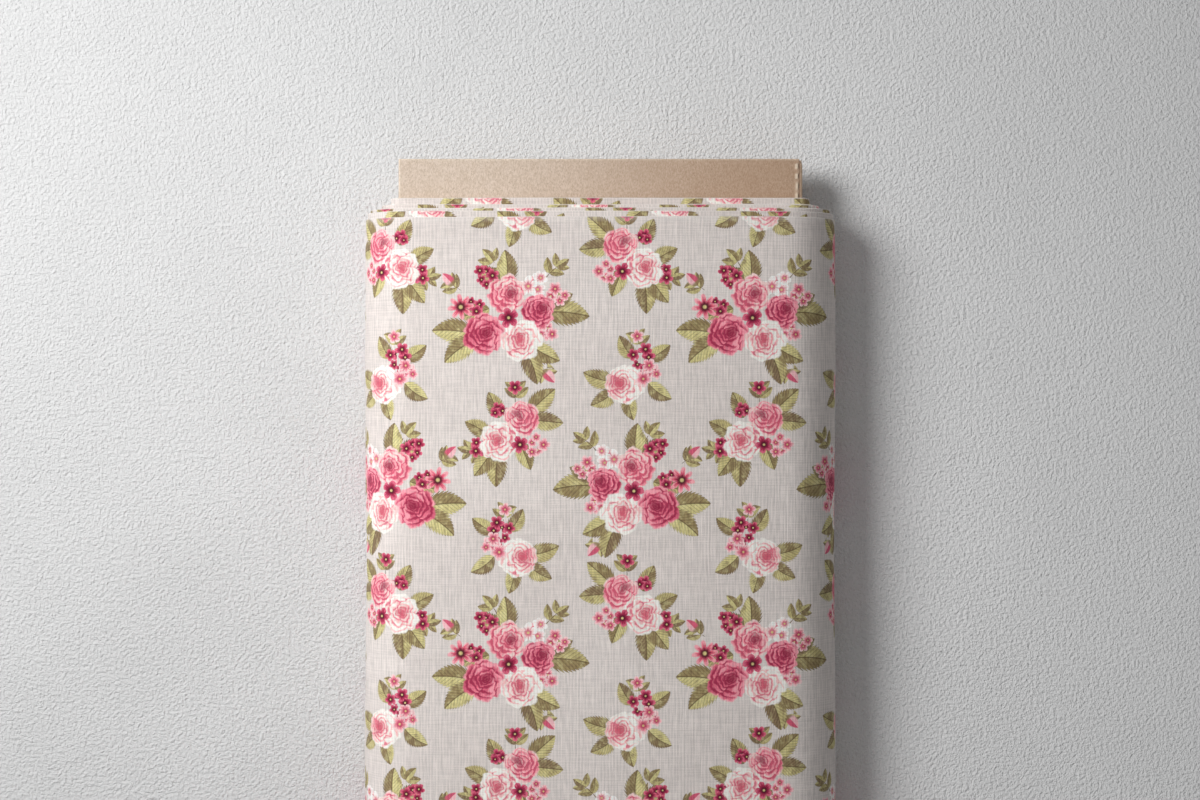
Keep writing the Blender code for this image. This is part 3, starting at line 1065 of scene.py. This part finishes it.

# one ridge of cloth edge: share of its width inwards, drop from its top, printed, painted edge
# highlight
RIDGE = (
    (0.0, 0.00030, True, 0.25),
    (0.16, 0.00008, True, 1.0),
    (0.50, 0.0, False, 1.0),
    (0.84, 0.00008, False, 1.0),
    (1.0, 0.00030, False, 0.25),
)
RIDGE_DEPTH = 0.0026                             # of the grooves between ridges
MIDDLE_STEP = 0.020                              # rows in the hidden middle of a group
END_REACH = 0.060                                # length of close rows at each end
CORNER_STEP = 0.0026


def end_rows(node, outer, inner, turns, edge_y, upward, plies):
    """The edges of the turns at one end: a narrow rounded ridge a layer, with a gap between.

    Returns rows of (depth, y, layer, distance along the cloth, printed, edge)."""
    ridges = turns * plies
    pitch = (outer - inner) / ridges
    width = pitch * 0.76
    sign = 1 if upward else -1
    rows = []
    random = np.random.default_rng(int(abs(edge_y) * 1e6) % 99991 + (7 if upward else 3))
    web = WEB_START[node]
    for i in range(ridges):
        depth = outer - i * pitch
        slip = 0.0 if i == 0 else random.uniform(-0.0012, 0.00025)
        top = edge_y + sign * slip
        base = depth if i == 0 else depth - pitch * 0.03
        if i:
            rows.append((base, top - sign * RIDGE_DEPTH, i, web, True, 0.0))
        for share, drop, printed, edge in RIDGE:
            rows.append((base - width * share, top - sign * drop, i, web, printed, edge))
        if i < ridges - 1:
            rows.append((base - width, top - sign * RIDGE_DEPTH, i, web, False, 0.0))
        if (i + 1) % plies == 0:
            web += perimeter(depth)
    return rows


def wavy(node, layer, along, seed=0):
    """How far one layer's edge wanders round the bolt, as a share."""
    random = np.random.default_rng(layer * 31 + len(node) * 7 + seed)
    out = np.zeros_like(along)
    total = perimeter(0.008)
    for k in (1, 2, 3, 5, 8, 13):
        size = random.uniform(-1, 1) / k**0.8
        out += size * np.sin(2 * np.pi * k * along / total + random.uniform(0, 6.28))
    return out


def spread(values, cols):
    """A column of row values, repeated over all columns."""
    return np.repeat(np.array(values)[:, None], cols, 1)


def end_share(y, top, bottom):
    """1 at either end, falling to 0 within 30 mm."""
    return np.clip(1 - np.minimum(np.abs(y - top), np.abs(y - bottom)) / 0.03, 0, 1) ** 2


def wound_columns(depth, step):
    """The segment of each column, and its share of the way along it, from the middle of the back.

    A turn's print starts and ends there, where the next turn covers it."""
    steps = (step, step, CORNER_STEP, step, step * 2.2, step, CORNER_STEP, step, step)
    segment, share = [], []
    for i, (length, each) in enumerate(zip(lengths(depth), steps)):
        count = max(1, int(round(length / each)))
        segment += [i] * count
        share += [k / count for k in range(count)]
    segment, share = np.array(segment), np.array(share, float)
    begin = int(np.flatnonzero((segment == 4) & (share > 0.5 + 1e-6))[0])
    return np.roll(segment, -begin), np.roll(share, -begin)


def skin_places(top, bottom, step, everywhere):
    """Y of the skin's rows: close at the ends, and in the middle too when everywhere."""
    if everywhere:
        count = int((top - bottom - 0.0012) / step)
        return np.linspace(bottom + 0.0006, top - 0.0006, count)
    head = np.arange(top - 0.0006, top - END_REACH, -step)
    tail = np.arange(bottom + 0.0006, bottom + END_REACH, step)
    count = max(2, int((head[-1] - tail[-1]) / MIDDLE_STEP))
    middle = np.linspace(tail[-1], head[-1], count + 1)[1:-1]
    return np.concatenate([tail, middle, head[::-1]])


def wound_group(node, step=0.0024, everywhere=False, bump=None):
    """One group of turns as a closed ring: printed skin, layered edges at both ends, and bore."""
    inner, outer = DEPTH[node]
    top, bottom = TOP[node], BOTTOM[node]
    turns = max(2, round((outer - inner) / PLY))
    segment, share = wound_columns(outer, step)
    cols = len(segment)
    web = WEB_START[node]
    rows = [(outer, y, 0, web, True, 0.0) for y in skin_places(top, bottom, step, everywhere)]
    rows += end_rows(node, outer, inner, turns, top, upward=True, plies=1)
    bore = np.linspace(top - 0.004, bottom + 0.004, 14)
    rows += [(inner, y, turns, web, False, 0.0) for y in bore]
    rows += end_rows(node, outer, inner, turns, bottom, upward=False, plies=2)[::-1]
    depth, y, layer, web, printed, edge = (np.array(column) for column in zip(*rows))
    # a face between two turns takes no print
    printed &= np.abs(np.roll(web, -1) - web) < 1e-9
    depths, y = spread(depth, cols), spread(y, cols)
    if bump is not None:
        on_skin = (layer == 0) & (depth > outer - 0.0007)
        depths = depths + bump(segment, share)[None, :] * on_skin[:, None]
    x, z, normal_x, normal_z, along = trace(depths, segment, share)
    near_end = end_share(y, top, bottom)
    for index in np.unique(layer):
        on = layer == index
        amount = 0.00030 if index else 0.00022
        y[on] += wavy(node, int(index), along[on]) * amount * near_end[on]
        sideways = wavy(node, int(index), along[on], seed=5) * 0.00004
        x[on] += sideways * normal_x[on] * near_end[on]
        z[on] += sideways * normal_z[on] * near_end[on]
    x, z = puff(x, y, z, normal_x, normal_z, depths)
    points = np.stack([x, y, np.maximum(z, 0.00005)], -1)
    # distance along the cloth, unrolled so that it never jumps back
    total = np.array([perimeter(d) for d in depth])[:, None]
    first = along[:, :1]
    unrolled = np.where(along < first - 1e-9, along + total, along)
    unrolled = np.concatenate([unrolled, first + total], 1) + web[:, None]
    across = y + (TOP["loose_cloth_end"] - top)
    return cloth_mesh(node, points, unrolled, across, True, printed, spread(edge, cols))


def lower_left_bump(segment, share):
    """The last turn's skin comes round from the back and sinks under the loose end at the left."""
    outer = DEPTH["outer_turns"][1]
    extra = DEPTH["loose_cloth_end"][1] - outer
    x, z = (values[0] for values in trace(np.array([[outer]]), segment, share)[:2])
    come = np.clip((-0.080 - x) / 0.010, 0, 1)
    sink = np.clip((LIP_Z - 0.0006 - z) / 0.0045, 0, 1)

    def ease(v):
        return v * v * (3 - 2 * v)

    return extra * ease(come) * ease(sink) * (z < MID_Z) * (x < -0.07)


for node, body, options in (
    ("core_turns", "core_group", {}),
    ("inner_turns", "inner_group", {}),
    ("middle_turns", "middle_group", {}),
    ("outer_turns", "wound_cloth", {"step": 0.0030, "everywhere": True, "bump": lower_left_bump}),
):
    made = wound_group(node, **options)
    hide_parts(node)
    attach(made, body)


# =============================================================================
# loose end
# =============================================================================
def loose_end():
    """The outermost cloth: from its free edge on the left side, over the front, round the right
    side and under the bolt."""
    node = "loose_cloth_end"
    inner, outer = DEPTH[node]
    top, bottom = TOP[node], BOTTOM[node]
    step = 0.0024
    half_w, _, radius = section(outer)
    flat = half_w - radius
    # along the cloth, from the free edge to a point on the back
    lip_turn = math.asin((MID_Z - LIP_Z) / radius)
    start = -flat - math.pi * radius / 2 - radius * lip_turn
    back_x = -0.084
    end = flat + math.pi * radius + flat - back_x
    cols = int((end - start) / step)
    along = np.linspace(start, end, cols)

    def place(depth):
        """x, z and the normal's x and z at each column."""
        row_w, row_d, row_radius = section(depth)
        row_flat = row_w - row_radius
        side = np.sign(along)
        turn = np.clip((np.abs(along) - flat) / radius, 0, math.pi)
        sn, cs = np.sin(turn), np.cos(turn)
        half_round_z = (row_d - row_radius) * cs + row_radius * cs
        back = along > flat + math.pi * radius
        segment = np.where(np.abs(along) <= flat, 0, np.where(back, 2, 1))
        return choose(segment, (
            (along * row_flat / flat, row_d, 0, 1),
            (side * (row_flat + row_radius * sn), half_round_z, side * sn, cs),
            (flat - (along - flat - math.pi * radius), -row_d, 0, -1),
        ))

    skin = np.linspace(bottom + 0.0004, top - 0.0005, int((top - bottom) / step))[:-1]
    ply = outer - inner
    # depth, y, painted edge highlight: the outer face, the rounded top edge, and the inner face
    rows = [(outer, y, 0.0) for y in skin]
    rows += [
        (outer, top - 0.0004, 0.3),
        (outer - 0.12 * ply, top - 0.00012, 1.0),
        (outer - 0.42 * ply, top, 1.0),
        (outer - 0.58 * ply, top, 1.0),
        (inner + 0.12 * ply, top - 0.00012, 1.0),
        (inner, top - 0.0004, 0.3),
    ]
    rows += [(inner, y, 0.0) for y in skin[::-1]]
    x, z, normal_x, normal_z = np.moveaxis(np.array([place(row[0]) for row in rows]), 1, 0)
    z = z + MID_Z
    depth, y, edge = (spread(column, cols) for column in zip(*rows))
    along = np.repeat(along[None, :], len(rows), 0)
    y = y + wavy(node, 0, along) * 0.00022 * end_share(y, top, bottom)
    # the free edge is not quite straight, and lifts a little from the turn under it
    free = np.clip(1 - (along - start) / 0.012, 0, 1) ** 2
    lift = free * (0.00025 + 0.00018 * np.sin(y * 47.0 + 0.8) + 0.00012 * np.sin(y * 101.0))
    x, z = puff(x, y, z, normal_x, normal_z, depth)
    x, z = x + normal_x * lift, z + normal_z * lift
    points = np.stack([x, y, np.maximum(z, 0.00005)], -1)
    is_outer = np.arange(len(rows))[:, None] < len(rows) // 2
    across = np.where(is_outer, y, 2 * top - y)
    # the free edge is paler along its last 1.2 mm: painted highlight, partly wear
    edge = np.maximum(edge, np.clip(1 - (along - start) / 0.0012, 0, 1) * 0.8)
    printed = np.ones(len(rows), bool)
    made = cloth_mesh(node, points, along, across, False, printed, edge)
    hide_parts(node)
    first = Vector((TURN_X + 0.004, 0.0, FACE_Z + 0.0035))
    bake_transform(made)


loose_end()


# =============================================================================
# board
# =============================================================================
def card_columns(step, close):
    """The segment of each column round the sleeve, and its share of the way along it.

    close lists distances of extra columns before the perforated fold."""

    def even(length):
        count = max(1, int(round(length / step)))
        return list(np.arange(count) / count)

    turn = [k / 6 for k in range(6)]
    front = HALF_W - FOLD_W
    first = [share for share in even(front) if share < 1 - (close[0] + 0.001) / front]
    first += [1 - distance / front for distance in close]
    side, back = even(2 * HALF_D), even(2 * HALF_W)
    runs = [first, turn, side, turn, back, turn, side, turn, even(HALF_W)]
    segment = np.concatenate([[i] * len(run) for i, run in enumerate(runs)])
    return segment, np.concatenate(runs)


def card_section(inset, segment, share):
    """Points and outward normals in XZ at an inset from the sleeve's skin, z from its middle."""
    inset, segment, share = np.broadcast_arrays(inset, segment[None, :], share[None, :])
    wide, deep = HALF_W - inset, HALF_D - inset
    radius = np.maximum(CORNER - inset, 0.00025)
    fold_w, fold_d = np.maximum(FOLD_W - inset, 0.00025), np.maximum(FOLD_D - inset, 0.00020)
    sn, cs = np.sin(share * np.pi / 2), np.cos(share * np.pi / 2)
    size = np.hypot(sn / fold_w, cs / fold_d)
    mid_x, mid_z = wide - radius, deep - radius

    def between(a, b):
        return a + (b - a) * share

    return choose(segment, (
        (between(0 * wide, wide - fold_w), deep, 0, 1),
        (
            wide - fold_w + fold_w * sn,
            deep - fold_d + fold_d * cs,
            sn / fold_w / size,
            cs / fold_d / size,
        ),
        (wide, between(deep - fold_d, -mid_z), 1, 0),
        (mid_x + radius * cs, -mid_z - radius * sn, cs, -sn),
        (between(mid_x, -mid_x), -deep, 0, -1),
        (-mid_x - radius * sn, -mid_z - radius * cs, -sn, -cs),
        (-wide, between(-mid_z, mid_z), -1, 0),
        (-mid_x - radius * cs, mid_z + radius * sn, -cs, sn),
        (between(-mid_x, 0 * wide), deep, 0, 1),
    ))


# one end of the sleeve's wall, from the skin inwards: inset from the skin, inset from the end
SLEEVE_END = (
    (0.00002, 0.00012),
    (0.00012, 0.0),
    (LINER - 0.0001, 0.0),
    (LINER, 0.0001),
    (LINER, POCKET),
    (WALL - LINER, POCKET),
    (WALL - LINER, 0.0001),
    (WALL - LINER + 0.0001, 0.0),
    (WALL - 0.0001, 0.0),
    (WALL, 0.00015),
)


def board_sleeve():
    """The folded corrugated sheet: two liners with an open pocket between them at each end, and
    a perforated fold at the right."""
    close = (0.0034, 0.0026, 0.0020, 0.0015, 0.0011, 0.0008, 0.0005, 0.0002)
    segment, share = card_columns(step=0.0065, close=close)
    end = BOARD_END
    step = NICK_PITCH / 6
    half = int((end - 0.0009) / step)
    rows = [(0.0, y) for y in np.arange(-half, half + 1) * step]
    rows += [(inset, end - drop) for inset, drop in SLEEVE_END]
    rows += [(WALL, y) for y in np.linspace(end - 0.02, -end + 0.02, 24)]
    rows += [(inset, -end + drop) for inset, drop in reversed(SLEEVE_END)]
    inset, y = (np.array(column)[:, None] for column in zip(*rows))
    x, z, normal_x, normal_z = card_section(inset, segment, share)
    y = y + 0 * x
    skin = inset < 0.00035
    skin_x = card_section(np.zeros((1, 1)), segment, share)[0]
    near_fold = HALF_W - FOLD_W - skin_x
    front = (segment == 0) | (segment == 1)
    # cuts of the perforation beside the right front fold: torn lips stand up on one side of a
    # slit, whose darkness is painted shade
    phase = (y / NICK_PITCH) % 1.0
    random = np.random.default_rng(4)
    which = np.floor(y / NICK_PITCH).astype(int) % 200
    lean = random.uniform(-0.00015, 0.00015, 200)[which]
    size = random.uniform(0.8, 1.15, 200)[which]
    tall = np.clip((0.36 * size - np.abs(phase - 0.5)) / 0.10, 0, 1)
    lip = np.clip(1 - np.abs(near_fold - 0.0011 + lean) / 0.0010, 0, 1) * tall * front * skin
    slit = np.clip(1 - np.abs(near_fold + 0.0001) / 0.0004, 0, 1) * tall * front * skin
    z = z + 0.00022 * lip - 0.00045 * slit
    # the side of the fold has torn away obliquely at the end
    torn = np.clip((skin_x - (HALF_W - FOLD_W)) / FOLD_W, 0, 1) * (segment <= 2) * (segment > 0)
    torn = torn * np.clip((z - (HALF_D - 0.0060)) / 0.0050, 0, 1)
    y = y - 0.0033 * torn * np.clip(1 - (end - y) / 0.009, 0, 1)
    # fluting shows through the liner
    flute = 0.00003 * np.sin(skin_x * 2 * np.pi / FLUTE) * (np.abs(normal_z) > 0.98)
    z = z + flute * normal_z * skin
    # pale wear on the lips, the ends and the folds
    worn = np.clip(lip * 1.5, 0, 1) * 0.85
    worn = np.maximum(worn, 0.35 * (np.abs(y) > end - 0.0004))
    worn = np.maximum(worn, 0.16 * ((np.abs(normal_x) > 0.2) & (np.abs(normal_z) > 0.2)) * skin)
    # painted shade along the start of the perforated fold's crease; it goes into the slit
    # attribute with the slits
    painted_crease_shade = 0.35 * (segment == 1) * (share < 0.3) * skin
    dark = np.maximum(np.clip(slit * 1.6, 0, 1), painted_crease_shade)
    points = np.stack([x, y, z + MID_Z], -1)
    made = card_mesh("board_sleeve_card", points, KRAFT, worn=worn, slit=dark)
    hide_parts("board_sleeve")
    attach(made, "board")


def board_fluting(name, sign):
    """The wavy middle sheet seen in the pockets of one end; sign is the end's side in Y."""
    segment, share = card_columns(step=0.0008, close=(0.0008,))
    x, z = (values[0] for values in card_section(np.full((1, 1), WALL / 2), segment, share)[:2])
    run = np.concatenate([[0], np.cumsum(np.hypot(np.diff(x), np.diff(z)))])
    total = run[-1] + math.hypot(x[0] - x[-1], z[0] - z[-1])
    waves = round(total / FLUTE)
    swing = WALL / 2 - LINER - 0.00022
    middle = WALL / 2 + swing * np.sin(2 * np.pi * waves * run / total)
    half = 0.00014
    low, high = BOARD_END - POCKET + 0.0005, BOARD_END - 0.0003
    inset = np.array([-half, -half, half, half])[:, None] + middle[None, :]
    x, z, _, _ = card_section(inset, segment, share)
    y = np.array([low, high, high, low])[:, None] + 0 * x
    # the torn corner takes the fluting with it
    torn = np.clip((x - (HALF_W - 0.0050)) / 0.0030, 0, 1)
    torn = torn * np.clip((z - (HALF_D - 0.0060)) / 0.0050, 0, 1)
    y = sign * (y - 0.0036 * torn * (y > high - 0.001) * (sign > 0))
    points = np.stack([x, y, z + MID_Z], -1)
    if sign < 0:
        points = points[::-1]
    made = card_mesh(name, points, FLUTING)
    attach(made, "board")


board_sleeve()
board_fluting("board_fluting_top", sign=1)
board_fluting("board_fluting_bottom", sign=-1)
for node, material in (
    ("top_end_flap", KRAFT),
    ("bottom_end_flap", KRAFT),
    ("spacer_channel_left", GREY_CARD),
    ("spacer_channel_right", GREY_CARD),
):
    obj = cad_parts[node]
    obj.data.materials.clear()
    obj.data.materials.append(material)


# =============================================================================
# stage, light and camera
# =============================================================================
STUDIO_WHITE = (0.98, 0.99, 1.0, 1)


def pale_floor():
    material, tree, shader = principled("pale_floor")
    place = tree.object_mm()
    coarse = tree.noise(place, scale=0.60, detail=2.5, rough=0.64)
    uneven = tree.noise(place, scale=0.012, detail=2.0, rough=0.5)
    # darker on the left
    across = tree.split(place)[0].ramp(start=-330.0, end=330.0, bottom=0.71, top=0.99)
    shade = uneven.times(0.10, plus=coarse.times(0.05, plus=across - 0.075))
    # further out, the studio floor is lit by lamps of its own
    x, y, _ = tree.split(place)
    away = tree.length(x, y * 0.8)
    tree.fill(shader, {
        "Base Color": tree.scale(tree.join(1.0, 1.0, 1.0), shade),
        "Roughness": 0.9,
        "Normal": tree.bump(coarse, strength=0.9, distance=0.0019),
        "Emission Color": STUDIO_WHITE,
        "Emission Strength": away.ramp(start=420.0, end=1100.0, top=0.46),
    })
    return material


def floor():
    mesh = bpy.data.meshes.new("floor")
    half, z = 3.0, -0.0001
    corners = [(-half, -half, z), (half, -half, z), (half, half, z), (-half, half, z)]
    mesh.from_pydata(corners, [], [(0, 1, 2, 3)])
    made = link_object("floor", mesh)
    mesh.materials.append(pale_floor())
    made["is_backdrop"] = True


def light(name, kind, place, aim, power, size):
    """A lamp at a place; size is a disk's width, a sun's angle or a spot's radius."""
    data = bpy.data.lights.new(name, kind)
    data.energy = power
    if kind == "AREA":
        data.shape, data.size = "DISK", size
    elif kind == "SUN":
        data.angle = size
    else:
        data.shadow_soft_size = size
    obj = link_object(name, data)
    obj.location = place
    obj.rotation_euler = (Vector(aim) - Vector(place)).to_track_quat("-Z", "Y").to_euler()
    obj.visible_camera = False
    return obj


def studio_world():
    """The backdrop is pale to the eye, but lights the bolt only softly."""
    world = bpy.data.worlds.new("studio")
    world.use_nodes = True
    tree = Tree(world.node_tree)
    seen = tree.add("ShaderNodeLightPath", {}, "Is Camera Ray")
    strength = seen.times(0.55, plus=0.16)
    tree.fill(world.node_tree.nodes["Background"], {0: STUDIO_WHITE, 1: strength})
    bpy.context.scene.world = world


def add_camera():
    """Looks straight down on the front face."""
    lens, sensor = 85.0, 36.0                    # millimetres
    span = 0.5785                                # width in view at the cloth's face
    data = bpy.data.cameras.new("camera")
    data.lens, data.sensor_width = lens, sensor
    camera = link_object("camera", data)
    camera.location = (-0.0002, BOARD_END - 0.1176, FACE_Z + span * lens / sensor)
    camera.rotation_euler = (0, 0, 0)
    bpy.context.scene.camera = camera


floor()
key = light(
    "key", "SPOT", place=(-0.62, 0.55, 0.78), aim=(-0.32, 0.22, 0.0), power=43.5, size=0.29
)
key.data.spot_size, key.data.spot_blend = math.radians(94), 1.0
light("fill", "AREA", place=(0.0, 0.1, 2.4), aim=(0.0, 0.1, 0.0), power=3.0, size=2.4)
light("end_light", "SUN", place=(-0.5, -1.5, 0.17), aim=(0.0, 0.0, 0.0), power=0.42, size=0.4)
studio_world()
add_camera()
bpy.context.scene.view_settings.view_transform = "Standard"

low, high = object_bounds()
